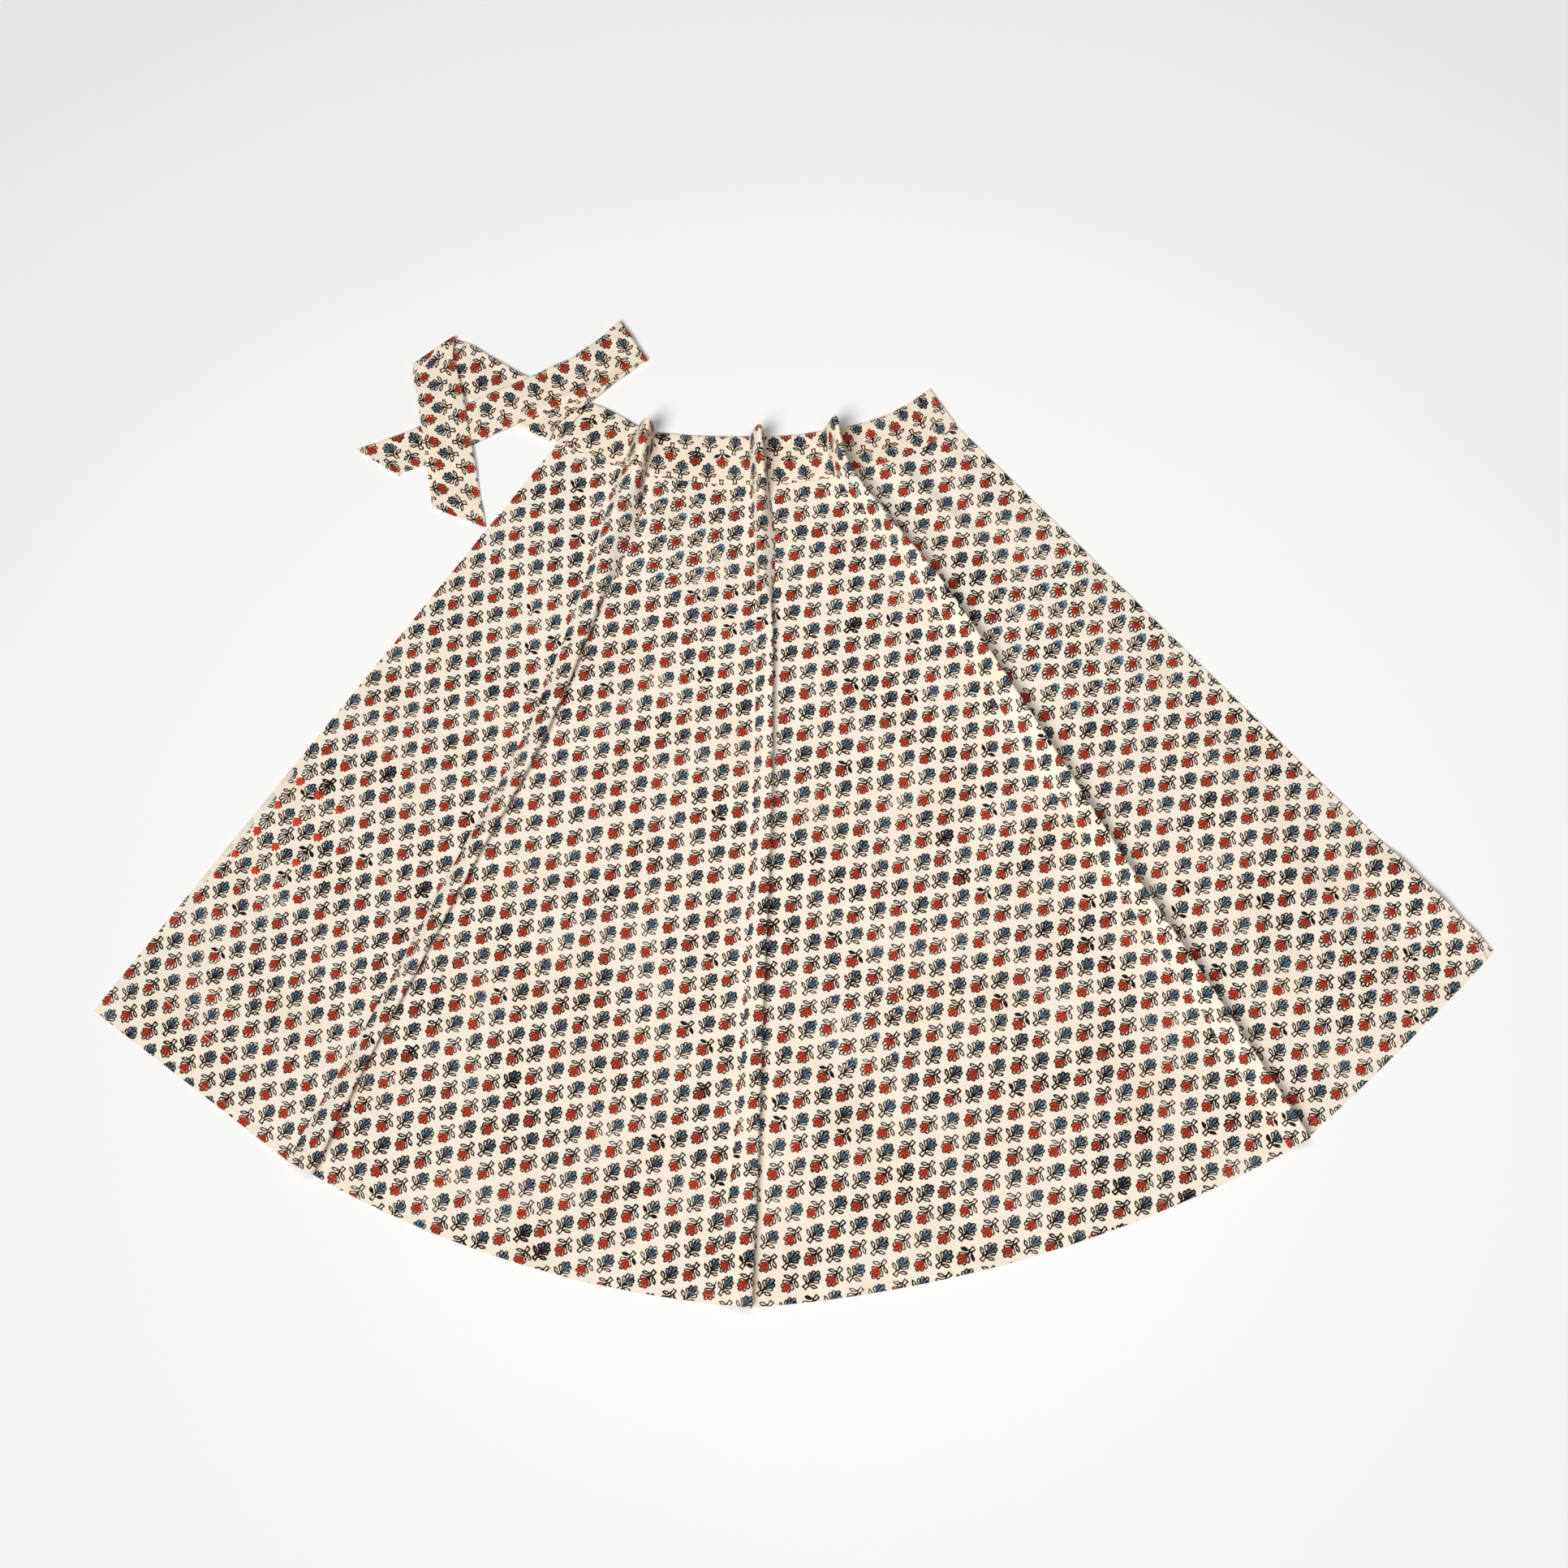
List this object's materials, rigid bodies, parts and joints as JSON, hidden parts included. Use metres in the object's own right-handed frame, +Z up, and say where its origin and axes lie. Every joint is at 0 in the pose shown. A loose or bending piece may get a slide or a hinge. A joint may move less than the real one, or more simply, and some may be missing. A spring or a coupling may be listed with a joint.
{
  "type": "wrap skirt",
  "caption": "Flared cotton wrap skirt laid flat and doubled, with ridged folds pinched at a narrow waistband and crossed sash ties beside it.",
  "frame": {"origin": "bottom centre of the bounding box of the skirt and its ties, on the surface it lies on", "axes": "+Z up from the surface, +Y from the hem towards the waistband, +X across the skirt towards its side edge, away from the ties"},
  "size_m": [1.364, 1.0152, 0.0353],
  "materials": {
    "panel_cotton": "matt plain-woven cotton, cream, block-printed with small red and indigo flowers outlined in black",
    "band_cotton": "the same printed cotton cut on the bias, doubled and pressed"
  },
  "bodies": {
    "root": {"front_panel": "panel_cotton", "back_panel": "panel_cotton", "waistband_left": "band_cotton", "waistband_right": "band_cotton", "waistband_back": "band_cotton", "tie_over": "band_cotton", "tie_under": "band_cotton"}
  },
  "joints": []
}
